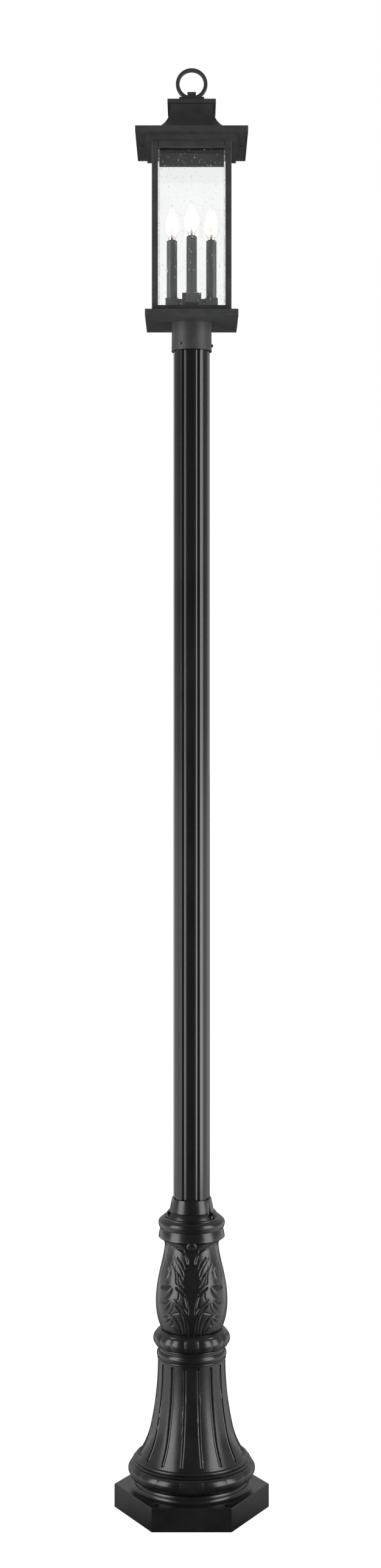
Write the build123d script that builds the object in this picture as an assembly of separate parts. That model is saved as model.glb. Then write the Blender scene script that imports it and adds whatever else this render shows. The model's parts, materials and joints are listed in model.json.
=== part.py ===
from build123d import *
import math
import os

os.makedirs("parts", exist_ok=True)

# A tall post light: a cast hexagonal base, a fluted post and a square lantern with four candle lights.
# Sizes are in millimetres. The ground is z = 0, the post stands on the Z axis and the front faces -Y.
# A bearing is an angle in degrees, counted from the front towards +X.

# Clearances that pieces share
body_gap = 0.3
screw_gap = 0.2
thread_gap = 0.05
# How far a cutter runs past the face it opens
overrun = 1.0

# Hexagonal plinth with its cove
plinth_height = 48.5
plinth_wall = 9.0
plinth_deck = 10.0
plinth_round = 2.0
cove_height = 18.0
cove_foot_radius = 127.0
cove_roll_radius = 119.5
cove_roll_height = 8.5
cove_roll_bulge = 2.4
cove_neck_radius = 112.0
cove_hollow = 2.4
cable_way_radius = 60.0
anchor_spacing_x = 144.0
anchor_spacing_y = 249.4
anchor_hole_radius = 4.5
anchor_recess_radius = 6.5
anchor_recess_depth = 3.0
anchor_boss_radius = 14.0
anchor_edge_distance = 16.3

# Lobed ring at the foot of the bell
casting_wall = 6.0
lobe_count = 16
foot_ring_height = 44.2
foot_ring_round = 17.0
foot_ring_radius = 133.4
foot_ring_shoulder = 68.0
foot_lobe_pull = 50.0
foot_ledge_radius = 124.0
foot_ledge_drop = 7.9
foot_ledge_edge = 1.8
foot_ledge_sink = 3.0
foot_bead_radius = 119.8
foot_bead_round = 3.8
foot_bead_sweep = 130.0
foot_ring_bore = 91.0
foot_ring_room_height = 25.0
foot_ring_room_inner = 3.0
foot_ring_room_outer = 6.0
lobe_root = 6.0

# Fluted bell
bell_height = 203.0
bell_top_radius = 71.0
bell_upper_bend = 660.0
bell_upper_sweep = 12.3
bell_lower_bend = 178.0
bell_flange = 8.0
bell_flute_radius = 5.2
bell_flute_depth = 3.2
bell_flute_top_gap = 7.0
bell_flute_foot_gap = 9.0

# Bead, lobed ring and vase above the bell
bead_height = 24.0
bead_radius = 73.3
bead_neck_radius = 69.3
bead_cushion_height = 4.2
bead_cushion_bulge = 1.1
bead_cushion_recess = 0.3
bead_band_foot = 4.9
bead_band_top = 19.9
bead_band_step = 1.0
fine_bead_height = 4.6
fine_bead_bulge = 1.2
fine_bead_lean = 0.3
stack_bore = 50.0
gadroon_height = 39.5
gadroon_radius = 81.0
gadroon_crown_height = 18.5
gadroon_upper_round = 20.8
gadroon_upper_sweep = 54.0
gadroon_lower_round = 16.0
gadroon_lower_sweep = 54.0
gadroon_lobe_pull = 43.0
rim_inner_radius = 66.0
rim_radius = 72.6
rim_fall = 4.4
rim_foot_radius = 76.5
rim_foot_fall = 14.2
rim_sink = 4.0
post_shelf_height = 8.0
post_shelf_bore = 28.0
vase_wall = 7.0
vase_height = 186.3
vase_foot_radius = 63.4
vase_belly_radius = 75.3
vase_belly_height = 67.0
vase_neck_radius = 57.1
vase_shoulder_radius = 66.3
vase_shoulder_height = 125.0
vase_neck_height = 169.5
vase_top_radius = 60.0

# Top ring and bolted collar
top_ring_height = 46.0
top_ring_round = 9.7
top_ring_under_round = 19.0
top_ring_under_sweep = 38.0
top_ring_radius = 69.9
top_ring_land = 61.0
top_ring_bore = 45.1
band_foot_radius = 69.6
band_foot_height = 6.5
band_bulge = 0.5
band_corner_round = 1.0
collar_height = 41.0
collar_top_radius = 41.2
collar_skirt_radius = 46.6
collar_skirt_height = 14.5
collar_step_radius = 49.6
collar_step_drop = 0.7
collar_flare_radius = 56.5
collar_flare_height = 3.7
collar_flare_hollow = 0.3
collar_flange_edge = 2.5
collar_seat_height = 2.0
collar_bolt_count = 3
collar_bolt_bearing = 50.5
collar_bolt_circle = 50.5
collar_bolt_radius = 4.0
collar_bolt_head_radius = 5.95
collar_bolt_head_height = 7.9
collar_bolt_chamfer = 0.7
collar_bolt_socket = 3.2
collar_bolt_socket_depth = 4.0
collar_bolt_length = 22.0
collar_pocket_radius = 8.6

# Hidden screws that hold the castings together
foot_screw_count = 6
foot_screw_circle = 97.5
foot_screw_radius = 3.0
foot_screw_head_radius = 5.0
foot_screw_head_height = 5.0
stack_screw_count = 4
stack_screw_bearing = 45.0
stack_screw_circle = 57.0
stack_lug_radius = 7.0
stack_lug_height = 14.0

# Fluted post
post_radius = 38.1
post_bore = 31.0
post_length = 2142.5
flute_count = 8
flute_bearing = 19.9
flute_radius = 8.2
flute_depth = 3.7

# Fitter that slips over the post, and its set screws
fitter_length = 58.5
fitter_top_radius = 41.6
fitter_foot_radius = 42.3
set_screw_radius = 3.0
set_screw_height = 12.0
set_screw_length = 6.6
set_screw_chamfer = 0.5
set_screw_socket = 1.5
set_screw_socket_depth = 2.5
set_screw_bearings = (-34.0, 86.0, 206.0)

# Square lantern cage
base_plate_side = 193.0
base_plate_thickness = 13.5
base_plate_round = 2.0
cage_side = 165.0
corner_post_side = 12.6
corner_post_round = 2.2
cage_height = 350.0
bottom_rail_height = 10.5
top_rail_height = 12.2
rail_setback = 1.6
glass_thickness = 3.0
clip_width = 12.0
clip_height = 8.0
clip_thickness = 1.2
clip_foot = 6.0

# Collar under the roof and the plate that closes the roof from below
eaves_collar_side = 190.0
eaves_collar_height = 11.3
soffit_thickness = 2.0
soffit_recess = 1.0
roof_screw_radius = 2.0
roof_screw_head_radius = 3.6
roof_screw_head_height = 1.6
roof_screw_slot = 0.9
roof_screw_slot_depth = 0.7
roof_screw_boss_radius = 5.0
roof_screw_inset = 9.5

# Roof, cap and ring
roof_side = 232.0
roof_lip_height = 11.4
roof_sheet = 2.5
roof_corner_round = 1.0
neck_half_width = 44.5
neck_bend = 58.0
neck_height = 65.6
cap_side = 101.0
cap_thickness = 8.8
cap_round = 0.8
cap_plug_depth = 4.0
ring_foot_side = 53.0
ring_foot_height = 11.4
ring_foot_round = 2.5
lug_width = 18.0
lug_depth = 15.0
lug_height = 15.5
lug_round = 1.0
ring_outer_radius = 33.4
ring_width = 7.9
ring_depth = 8.6
ring_round = 2.2
cap_screw_radius = 3.0
cap_screw_head_radius = 5.0
cap_screw_head_height = 4.0
cap_screw_spacing = 36.0

# Candle cluster
hub_side = 40.0
hub_height = 48.5
hub_bore_depth = 32.0
hub_round = 1.2
nipple_radius = 5.0
nipple_bore = 3.5
nipple_drop = 9.0
nut_across_flats = 17.0
nut_height = 5.0
washer_radius = 11.0
washer_thickness = 1.2
ground_screw_radius = 2.0
ground_screw_head_radius = 4.0
ground_screw_head_height = 2.5
ground_screw_length = 7.0
ground_screw_offset = 20.0
candle_offset = 41.5
cup_side = 27.0
cup_height = 17.5
cup_floor_height = 21.5
arm_width = 20.0
arm_height = 14.0
wire_bore = 3.0
candle_radius = 10.9
candle_wall = 0.9
candle_round = 0.4
candle_height = 121.5
socket_radius = 9.0
socket_height = 30.0
socket_floor = 5.0
socket_recess = 1.0
stem_wall = 1.5

# Candle bulbs
bulb_shell_radius = 6.0
bulb_shell_height = 16.0
bulb_contact_radius = 2.2
bulb_contact_height = 3.0
bulb_shell_round = 1.5
bulb_collar_radius = 8.3
bulb_collar_height = 7.6
bulb_collar_edge = 0.8
bulb_collar_flare = 2.0
bulb_glass_height = 67.0
bulb_glass_radius = 16.0
bulb_glass_neck_radius = 8.1
bulb_glass_belly_height = 21.0
bulb_glass_tip_round = 3.5
bulb_glass_wall = 0.8

# Levels from the ground up
cove_top = plinth_height + cove_height
foot_ring_top = cove_top + foot_ring_height
bell_top = foot_ring_top + bell_height
bead_top = bell_top + bead_height
gadroon_top = bead_top + gadroon_height
vase_top = gadroon_top + vase_height
top_ring_top = vase_top + top_ring_height
post_foot = bead_top + post_shelf_height
post_top = post_foot + post_length
foot_screw_seat = plinth_height - plinth_deck
stack_screw_seat = bell_top - bell_flange
plate_bottom = post_top + body_gap
fitter_bottom = plate_bottom - fitter_length
plate_top = plate_bottom + base_plate_thickness
cage_top = plate_top + cage_height
soffit_bottom = cage_top + eaves_collar_height
soffit_top = soffit_bottom + soffit_thickness
lip_bottom = soffit_bottom - soffit_recess
roof_top = lip_bottom + roof_lip_height
neck_top = roof_top + neck_height
cap_top = neck_top + cap_thickness
ring_foot_top = cap_top + ring_foot_height
ring_centre = ring_foot_top + ring_outer_radius
cup_bottom = plate_top + cup_floor_height
cup_top = cup_bottom + cup_height
candle_top = cup_top + candle_height
bulb_glass_bottom = candle_top + bulb_collar_height

# Widths that follow from others
plinth_across_flats = anchor_spacing_y + 2 * anchor_edge_distance
cage_half = cage_side / 2
post_inner_half = cage_half - corner_post_side
rail_inner = post_inner_half
glass_outer = rail_inner
glass_inner = glass_outer - glass_thickness
fitter_bore = post_radius + body_gap
hub_top = plate_top + hub_height
wire_height = cup_bottom + cup_height / 2
ring_middle_radius = ring_outer_radius - ring_width / 2

side_names = ("front", "right", "back", "left")
corner_signs = {
    "front_left": (-1, -1),
    "front_right": (1, -1),
    "back_right": (1, 1),
    "back_left": (-1, 1),
}


def save(name, shape):
    """Write one named piece."""
    export_step(shape, f"parts/{name}.step")


def turned(edges):
    """A solid turned about the Z axis from edges that enclose a shape in radius and height."""
    return revolve(Plane.XZ * make_face(edges), Axis.Z)


def outline(*points):
    """Straight edges through points of radius and height."""
    return list(Polyline(*points).edges())


def at_bearing(bearing, radius, height):
    """The place at a bearing, a distance from the axis and a height."""
    angle = math.radians(bearing)
    return Pos(radius * math.sin(angle), -radius * math.cos(angle), height)


def around(shape, count, first=0.0):
    """Copies of a shape made at the front, spread evenly around the axis."""
    return [Rot(0, 0, first + 360 / count * index) * shape for index in range(count)]


def rod(radius, bottom, top):
    """An upright cylinder on the axis between two heights."""
    return Pos(0, 0, (bottom + top) / 2) * Cylinder(radius, top - bottom)


def block(x_size, y_size, bottom, top):
    """An upright box on the axis between two heights."""
    return Pos(0, 0, (bottom + top) / 2) * Box(x_size, y_size, top - bottom)


def bore(radius, bottom, top):
    """An upright round cutter that runs past both heights."""
    return rod(radius, bottom - overrun, top + overrun)


def lobes(edges, pull, root):
    """Round lobes side by side around the axis, from a root radius outwards.

    The edges enclose one lobe's section in radius and height. Each lobe is turned about an upright axis of
    its own, a pull away from the middle, and cut to its share of the circle, so that two lobes meet in a
    crease."""
    lobe = Pos(pull, 0, 0) * turned([Pos(-pull, 0) * edge for edge in edges])
    box = lobe.bounding_box()
    half_width = box.max.X * math.tan(math.pi / lobe_count)
    corners = Polyline((0, 0), (box.max.X, -half_width), (box.max.X, half_width), close=True)
    share = Pos(0, 0, box.min.Z) * extrude(make_face(corners), box.size.Z)
    lobe = (lobe & share) - bore(root, box.min.Z, box.max.Z)
    return around(Rot(0, 0, -90) * lobe, lobe_count)


def hex_plinth():
    """The hexagonal floor casting, hollow below, with four anchor bosses and a roll and a cove on top."""
    apothem = plinth_across_flats / 2
    deck_bottom = plinth_height - plinth_deck
    outer = extrude(RegularPolygon(apothem, 6, major_radius=False), plinth_height)
    outer = fillet(outer.edges().group_by(Axis.Z)[-1] + outer.edges().filter_by(Axis.Z), plinth_round)
    hollow = extrude(RegularPolygon(apothem - plinth_wall, 6, major_radius=False), deck_bottom)
    roll_top = (cove_roll_radius, plinth_height + cove_roll_height)
    cove = turned(
        outline(
            (cove_neck_radius, cove_top),
            (cable_way_radius, cove_top),
            (cable_way_radius, deck_bottom),
            (cove_foot_radius, deck_bottom),
            (cove_foot_radius, plinth_height),
        )
        + [
            SagittaArc((cove_foot_radius, plinth_height), roll_top, cove_roll_bulge),
            SagittaArc(roll_top, (cove_neck_radius, cove_top), -cove_hollow),
        ]
    )
    room_outer = foot_screw_circle - 2 * casting_wall
    room_inner = cable_way_radius + casting_wall
    under_cove = rod(room_outer, deck_bottom, cove_top - casting_wall)
    under_cove -= bore(room_inner, deck_bottom, cove_top - casting_wall)
    boss_room = extrude(RegularPolygon(apothem - plinth_wall / 2, 6, major_radius=False), deck_bottom)
    boss = rod(anchor_boss_radius, 0, deck_bottom)
    hole = bore(anchor_hole_radius, 0, plinth_height)
    hole += rod(anchor_recess_radius, plinth_height - anchor_recess_depth, plinth_height + overrun)
    anchors = GridLocations(anchor_spacing_x, anchor_spacing_y, 2, 2)
    screw_hole = bore(foot_screw_radius + screw_gap, deck_bottom, cove_top)
    plinth = outer - hollow + cove - under_cove - bore(cable_way_radius, 0, cove_top)
    plinth += [(place * boss) & boss_room for place in anchors]
    plinth -= [place * hole for place in anchors]
    return plinth - around(at_bearing(0, foot_screw_circle, 0) * screw_hole, foot_screw_count)


def foot_ring():
    """The large lobed ring with a thin ledge and a round bead above, where the bell stands on it."""
    middle = foot_ring_radius - foot_ring_round
    centre = cove_top + foot_ring_round
    root = middle - lobe_root
    round_arc = CenterArc((middle, centre), foot_ring_round, -90, 90 + foot_ring_shoulder)
    lobe_end = round_arc @ 1
    lobe_edges = [round_arc] + outline(
        (lobe_end.X, lobe_end.Y),
        (foot_lobe_pull, lobe_end.Y),
        (foot_lobe_pull, cove_top),
        (middle, cove_top),
    )
    bead_middle = (foot_bead_radius - foot_bead_round, foot_ring_top - foot_bead_round)
    bead = CenterArc(bead_middle, foot_bead_round, 90 - foot_bead_sweep, foot_bead_sweep)
    bead_foot = bead @ 0
    ledge_top = foot_ring_top - foot_ledge_drop
    core = [bead] + outline(
        (bead_foot.X, bead_foot.Y),
        (foot_ledge_radius, ledge_top),
        (foot_ledge_radius, ledge_top - foot_ledge_edge),
        (foot_ledge_radius - foot_ledge_sink, lobe_end.Y - overrun),
        (root + overrun, lobe_end.Y - overrun),
        (root + overrun, cove_top),
        (foot_ring_bore, cove_top),
        (foot_ring_bore, foot_ring_top),
        (bead_middle[0], foot_ring_top),
    )
    ring = turned(core) + lobes(lobe_edges, foot_lobe_pull, root)
    room = rod(middle + foot_ring_room_outer, cove_top, cove_top + foot_ring_room_height)
    room -= bore(middle - foot_ring_room_inner, cove_top, cove_top + foot_ring_room_height)
    screw_hole = bore(foot_screw_radius + screw_gap, cove_top, foot_ring_top)
    return ring - room - around(at_bearing(0, foot_screw_circle, 0) * screw_hole, foot_screw_count)


def bell_arcs():
    """Centres and angles of the two tangent arcs that make the bell's outline, from the top down."""
    upper_centre = Vector(bell_top_radius + bell_upper_bend, bell_top)
    sweep = math.radians(bell_upper_sweep)
    direction = Vector(math.cos(sweep), math.sin(sweep))
    break_point = upper_centre - direction * bell_upper_bend
    lower_centre = break_point + direction * bell_lower_bend
    foot_angle = math.degrees(math.asin((lower_centre.Y - foot_ring_top) / bell_lower_bend))
    return upper_centre, lower_centre, foot_angle


def bell_foot_radius():
    """The bell's outer radius where it stands on the foot ring."""
    _, lower_centre, foot_angle = bell_arcs()
    return lower_centre.X - bell_lower_bend * math.cos(math.radians(foot_angle))


def bell_curve(offset, upper_start, lower_end):
    """The bell's outline moved outwards by an offset, as two arcs in radius and height."""
    upper_centre, lower_centre, _ = bell_arcs()
    upper = CenterArc(
        (upper_centre.X, upper_centre.Y),
        bell_upper_bend - offset,
        180 + upper_start,
        bell_upper_sweep - upper_start,
    )
    lower = CenterArc(
        (lower_centre.X, lower_centre.Y),
        bell_lower_bend - offset,
        180 + bell_upper_sweep,
        lower_end - bell_upper_sweep,
    )
    return upper, lower


def fluted_bell():
    """The flared bell casting with narrow round-ended flutes and a flange inside at each end."""
    _, lower_centre, foot_angle = bell_arcs()
    foot_radius = bell_foot_radius()
    upper, lower = bell_curve(0, 0, foot_angle)
    corners = [(foot_radius, foot_ring_top), (0, foot_ring_top), (0, bell_top), (bell_top_radius, bell_top)]
    shell = turned([upper, lower] + outline(*corners))
    upper, lower = bell_curve(-casting_wall, 0, foot_angle)
    foot = lower @ 1
    top = upper @ 0
    room = turned([upper, lower] + outline((foot.X, foot.Y), (0, foot.Y), (0, top.Y), (top.X, top.Y)))
    shell -= room & rod(foot_radius, foot_ring_top + bell_flange, bell_top - bell_flange)
    shell -= bore(stack_bore, bell_top - bell_flange, bell_top)
    shell -= bore(foot_ring_bore, foot_ring_top, foot_ring_top + bell_flange)
    offset = bell_flute_radius - bell_flute_depth
    flute_start = math.degrees(math.asin(bell_flute_top_gap / (bell_upper_bend - offset)))
    flute_drop = lower_centre.Y - foot_ring_top - bell_flute_foot_gap
    flute_end = math.degrees(math.asin(flute_drop / (bell_lower_bend - offset)))
    path = Plane.XZ * Wire(bell_curve(offset, flute_start, flute_end))
    start = path @ 0
    flute = sweep(Plane(origin=start, z_dir=path % 0) * Circle(bell_flute_radius), path)
    flute += Pos(start) * Sphere(bell_flute_radius)
    flute += Pos(path @ 1) * Sphere(bell_flute_radius)
    shell -= around(Rot(0, 0, -90) * flute, lobe_count, 180 / lobe_count)
    foot_hole = bore(foot_screw_radius + thread_gap, foot_ring_top, foot_ring_top + bell_flange)
    shell -= around(at_bearing(0, foot_screw_circle, 0) * foot_hole, foot_screw_count)
    return shell - stack_holes(stack_screw_seat - overrun, bell_top + overrun, screw_gap)


def stack_holes(bottom, top, gap):
    """Holes for the long screws that tie the upper castings together."""
    hole = at_bearing(0, stack_screw_circle, 0) * rod(foot_screw_radius + gap, bottom, top)
    return around(hole, stack_screw_count, stack_screw_bearing)


def bell_bead():
    """The banded ring between the bell and the lobed ring: a low cushion, a band and a groove."""
    cushion_foot = (bell_top_radius - bead_cushion_recess, bell_top)
    cushion_top = (bell_top_radius, bell_top + bead_cushion_height)
    band_foot = (bell_top_radius, bell_top + bead_band_foot)
    band_top = (bead_neck_radius + bead_band_step, bell_top + bead_band_top)
    edges = [
        ThreePointArc(
            cushion_foot,
            (bell_top_radius + bead_cushion_bulge, bell_top + bead_cushion_height / 2),
            cushion_top,
        ),
        ThreePointArc(band_foot, (bead_radius, (band_foot[1] + band_top[1]) / 2), band_top),
    ]
    edges += outline(cushion_top, band_foot)
    edges += outline(
        band_top,
        (bead_neck_radius, band_top[1]),
        (bead_neck_radius, bead_top),
        (stack_bore, bead_top),
        (stack_bore, bell_top),
        cushion_foot,
    )
    return turned(edges) - stack_holes(bell_top - overrun, bead_top + overrun, screw_gap)


def gadroon_ring():
    """The ring of lobes under the vase, with a fine bead below, a sloped rim above and the post's shelf."""
    crown = bead_top + gadroon_crown_height
    upper_middle = gadroon_radius - gadroon_upper_round
    lower_middle = gadroon_radius - gadroon_lower_round
    upper_arc = CenterArc((upper_middle, crown), gadroon_upper_round, 0, gadroon_upper_sweep)
    lower_sweep = gadroon_lower_sweep
    lower_arc = CenterArc((lower_middle, crown), gadroon_lower_round, -lower_sweep, lower_sweep)
    top_end = upper_arc @ 1
    low_end = lower_arc @ 0
    lobe_edges = [upper_arc, lower_arc] + outline(
        (top_end.X, top_end.Y),
        (gadroon_lobe_pull, top_end.Y),
        (gadroon_lobe_pull, low_end.Y),
        (low_end.X, low_end.Y),
    )
    fine_foot = (bead_neck_radius, bead_top)
    fine_top = (bead_neck_radius - fine_bead_lean, bead_top + fine_bead_height)
    fine_middle = (bead_neck_radius + fine_bead_bulge, bead_top + fine_bead_height / 2)
    rim_foot = gadroon_top - rim_foot_fall
    core = [ThreePointArc(fine_foot, fine_middle, fine_top)] + outline(
        fine_top,
        (fine_top[0], rim_foot - rim_sink),
        (rim_foot_radius, rim_foot),
        (rim_radius, gadroon_top - rim_fall),
        (rim_inner_radius, gadroon_top),
        (stack_bore, gadroon_top),
        (stack_bore, post_foot),
        (post_shelf_bore, post_foot),
        (post_shelf_bore, bead_top),
        fine_foot,
    )
    ring = turned(core) + lobes(lobe_edges, gadroon_lobe_pull, fine_top[0] - lobe_root)
    return ring - stack_holes(bead_top - overrun, gadroon_top + overrun, screw_gap)


def vase_curve(inset):
    """The vase's outline in radius and height, moved inwards by an inset."""
    return Spline(
        (vase_foot_radius - inset, gadroon_top),
        (vase_belly_radius - inset, gadroon_top + vase_belly_height),
        (vase_shoulder_radius - inset, gadroon_top + vase_shoulder_height),
        (vase_neck_radius - inset, gadroon_top + vase_neck_height),
        (vase_top_radius - inset, vase_top),
        tangents=[(0.5, 1), (0.62, 0.78)],
    )


def vase_body(inset):
    """The vase as a solid without a hollow, moved inwards by an inset."""
    corners = [
        (vase_top_radius - inset, vase_top),
        (0, vase_top),
        (0, gadroon_top),
        (vase_foot_radius - inset, gadroon_top),
    ]
    return turned([vase_curve(inset)] + outline(*corners))


def leaf_vase():
    """The hollow vase casting, with lugs inside its foot for the long screws."""
    outer = vase_body(0)
    lug_top = gadroon_top + stack_lug_height
    lug = at_bearing(0, stack_screw_circle, 0) * rod(stack_lug_radius, gadroon_top, lug_top)
    lugs = [piece & outer for piece in around(lug, stack_screw_count, stack_screw_bearing)]
    vase = outer - vase_body(vase_wall) + lugs
    return vase - stack_holes(gadroon_top - overrun, lug_top - 2 * overrun, thread_gap)


def top_ring():
    """The round moulding and the flared band that crown the base."""
    centre = top_ring_top - top_ring_round
    upper = CenterArc((top_ring_radius - top_ring_round, centre), top_ring_round, 0, 90)
    under = CenterArc(
        (top_ring_radius - top_ring_under_round, centre),
        top_ring_under_round,
        -top_ring_under_sweep,
        top_ring_under_sweep,
    )
    notch = under @ 0
    band_foot = (band_foot_radius, vase_top + band_foot_height)
    edges = [upper, under, SagittaArc(band_foot, (notch.X, notch.Y), -band_bulge)]
    edges += outline(
        (top_ring_radius - top_ring_round, top_ring_top),
        (top_ring_bore, top_ring_top),
        (top_ring_bore, vase_top),
        (vase_top_radius, vase_top),
        band_foot,
    )
    ring = turned(edges)
    corner = [edge for edge in ring.edges() if abs(edge.center().Z - band_foot[1]) < body_gap]
    ring = fillet(corner, band_corner_round)
    hole = rod(collar_bolt_radius + thread_gap, top_ring_top - collar_bolt_length, top_ring_top + overrun)
    hole = at_bearing(0, collar_bolt_circle, 0) * hole
    return ring - around(hole, collar_bolt_count, collar_bolt_bearing)


def post_collar():
    """The flanged collar that the post passes through, with a pocket for each bolt."""
    skirt_foot = top_ring_top + collar_skirt_height
    collar_top = top_ring_top + collar_height
    flange_edge = (top_ring_land, top_ring_top + collar_flange_edge)
    step_edge = (collar_step_radius, skirt_foot - collar_step_drop)
    flare_foot = (collar_flare_radius, top_ring_top + collar_flare_height)
    edges = [SagittaArc(flare_foot, step_edge, -collar_flare_hollow)] + outline(
        step_edge,
        (collar_skirt_radius, skirt_foot),
        (collar_top_radius, collar_top),
        (fitter_bore, collar_top),
        (fitter_bore, top_ring_top),
        (top_ring_land, top_ring_top),
        flange_edge,
        flare_foot,
    )
    seat = top_ring_top + collar_seat_height
    cutter = rod(collar_pocket_radius, seat, collar_top + overrun)
    cutter += bore(collar_bolt_radius + screw_gap, top_ring_top, seat)
    cutter = at_bearing(0, collar_bolt_circle, 0) * cutter
    return turned(edges) - around(cutter, collar_bolt_count, collar_bolt_bearing)


def collar_bolts():
    """The socket-head bolts in the collar's pockets."""
    seat = top_ring_top + collar_seat_height
    head_top = seat + collar_bolt_head_height
    head = rod(collar_bolt_head_radius, seat, head_top)
    head = chamfer(head.edges().group_by(Axis.Z)[-1], collar_bolt_chamfer)
    socket = extrude(RegularPolygon(collar_bolt_socket, 6, major_radius=False), collar_bolt_socket_depth)
    head -= Pos(0, 0, head_top - collar_bolt_socket_depth) * socket
    bolt = head + rod(collar_bolt_radius, top_ring_top - collar_bolt_length + overrun, seat)
    bolt = at_bearing(0, collar_bolt_circle, 0) * bolt
    return Compound(around(bolt, collar_bolt_count, collar_bolt_bearing))


def foot_screws():
    """Long screws from under the plinth's deck up into the bell's foot."""
    screw = rod(foot_screw_radius, foot_screw_seat, foot_ring_top + bell_flange)
    screw += rod(foot_screw_head_radius, foot_screw_seat - foot_screw_head_height, foot_screw_seat)
    return Compound(around(at_bearing(0, foot_screw_circle, 0) * screw, foot_screw_count))


def stack_screws():
    """Long screws from under the bell's top flange up into the vase."""
    screw = rod(foot_screw_radius, stack_screw_seat, gadroon_top + stack_lug_height - 3 * overrun)
    screw += rod(foot_screw_head_radius, stack_screw_seat - foot_screw_head_height, stack_screw_seat)
    screw = at_bearing(0, stack_screw_circle, 0) * screw
    return Compound(around(screw, stack_screw_count, stack_screw_bearing))


def fluted_post():
    """The round tube with shallow flutes along it."""
    groove = Pos(0, -(post_radius - flute_depth + flute_radius)) * Circle(flute_radius)
    section = Circle(post_radius) - around(groove, flute_count, flute_bearing) - Circle(post_bore)
    return Pos(0, 0, post_foot) * extrude(section, post_length)


def set_screw_axis(bearing):
    """A frame on the fitter whose Z points outwards at a bearing, at the set screws' height."""
    place = at_bearing(bearing, 0, fitter_bottom + set_screw_height)
    return place * Rot(0, 0, bearing) * Rot(90, 0, 0)


def fitter_sleeve():
    """The slightly tapered sleeve that slips over the post."""
    sleeve = turned(
        outline(
            (fitter_foot_radius, fitter_bottom),
            (fitter_top_radius, plate_bottom),
            (fitter_bore, plate_bottom),
            (fitter_bore, fitter_bottom),
            (fitter_foot_radius, fitter_bottom),
        )
    )
    drill = Pos(0, 0, fitter_foot_radius) * Cylinder(set_screw_radius + thread_gap, fitter_foot_radius / 2)
    return sleeve - [set_screw_axis(bearing) * drill for bearing in set_screw_bearings]


def set_screw(bearing):
    """A headless set screw whose tip stands just off the post."""
    screw = Pos(0, 0, set_screw_length / 2) * Cylinder(set_screw_radius, set_screw_length)
    screw = chamfer(screw.edges().group_by(Axis.Z)[-1], set_screw_chamfer)
    socket = extrude(RegularPolygon(set_screw_socket, 6), set_screw_socket_depth)
    screw -= Pos(0, 0, set_screw_length - set_screw_socket_depth) * socket
    return set_screw_axis(bearing) * Pos(0, 0, fitter_bore) * screw


def base_plate():
    """The thick square plate that carries the cage, the fitter and the candle hub."""
    plate = block(base_plate_side, base_plate_side, plate_bottom, plate_top)
    plate = fillet(plate.edges().filter_by(Axis.Z), base_plate_round)
    levels = plate.edges().group_by(Axis.Z)
    plate = fillet(levels[-1] + levels[0], base_plate_round / 2)
    plate -= bore(nipple_radius + screw_gap, plate_bottom, plate_top)
    ground = bore(ground_screw_radius + thread_gap, plate_bottom, plate_bottom + ground_screw_length)
    return plate - Pos(ground_screw_offset, 0, 0) * ground


def rails(bottom, top):
    """Four rails between the corner posts, set back a little from their outer faces."""
    outer = cage_half - rail_setback
    rail = block(2 * post_inner_half, outer - rail_inner, bottom, top)
    return Compound(around(Pos(0, -(outer + rail_inner) / 2, 0) * rail, 4))


def corner_post(x_sign, y_sign):
    """A square corner post with a rounded outer edge."""
    middle = cage_half - corner_post_side / 2
    post = block(corner_post_side, corner_post_side, plate_top, cage_top)
    post = Pos(x_sign * middle, y_sign * middle, 0) * post
    upright = post.edges().filter_by(Axis.Z)
    outer_edge = upright.sort_by(lambda edge: edge.center().X * x_sign + edge.center().Y * y_sign)[-1]
    return fillet(outer_edge, corner_post_round)


def glass_pane(index):
    """A pane behind the rails. The front and back panes run from side to side, the others between them."""
    front = index % 2 == 0
    half_width = glass_outer if front else glass_inner - body_gap
    pane = block(2 * half_width, glass_thickness, plate_top, cage_top - body_gap)
    return Rot(0, 0, 90 * index) * Pos(0, -(glass_outer + glass_inner) / 2, 0) * pane


def glass_clips():
    """Bent tabs on the base plate that hold the foot of each pane."""
    foot = block(clip_width, clip_foot, plate_top, plate_top + clip_thickness)
    tab = block(clip_width, clip_thickness, plate_top, plate_top + clip_height)
    clip = Pos(0, -(glass_inner - clip_foot / 2), 0) * foot
    clip += Pos(0, -(glass_inner - clip_thickness / 2), 0) * tab
    return Compound(around(clip, 4))


def eaves_collar():
    """The square collar on top of the cage, open in the middle."""
    collar = block(eaves_collar_side, eaves_collar_side, cage_top, soffit_bottom)
    return collar - block(2 * glass_inner, 2 * glass_inner, cage_top - overrun, soffit_bottom + overrun)


def roof_screw_places():
    """The middle of each side of the roof, just inside its lip."""
    radius = roof_side / 2 - roof_screw_inset
    return [at_bearing(90 * index, radius, 0) for index in range(4)]


def soffit_plate():
    """The thin plate that closes the roof from below and stays on the cage."""
    side = roof_side - 2 * roof_sheet - 2 * body_gap
    plate = block(side, side, soffit_bottom, soffit_top)
    plate -= block(2 * glass_inner, 2 * glass_inner, soffit_bottom - overrun, soffit_top + overrun)
    hole = bore(roof_screw_radius + thread_gap, soffit_bottom, soffit_top)
    return plate - [place * hole for place in roof_screw_places()]


def roof_screws():
    """Small slotted screws through the soffit into the roof."""
    head_bottom = soffit_bottom - roof_screw_head_height
    head = rod(roof_screw_head_radius, head_bottom, soffit_bottom)
    head = fillet(head.edges().group_by(Axis.Z)[0], roof_screw_head_height / 2)
    slot = block(
        roof_screw_slot,
        2 * roof_screw_head_radius,
        head_bottom - overrun,
        head_bottom + roof_screw_slot_depth,
    )
    screw = head - slot + rod(roof_screw_radius, soffit_bottom, roof_top - roof_sheet - overrun)
    return Compound([place * screw for place in roof_screw_places()])


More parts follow.
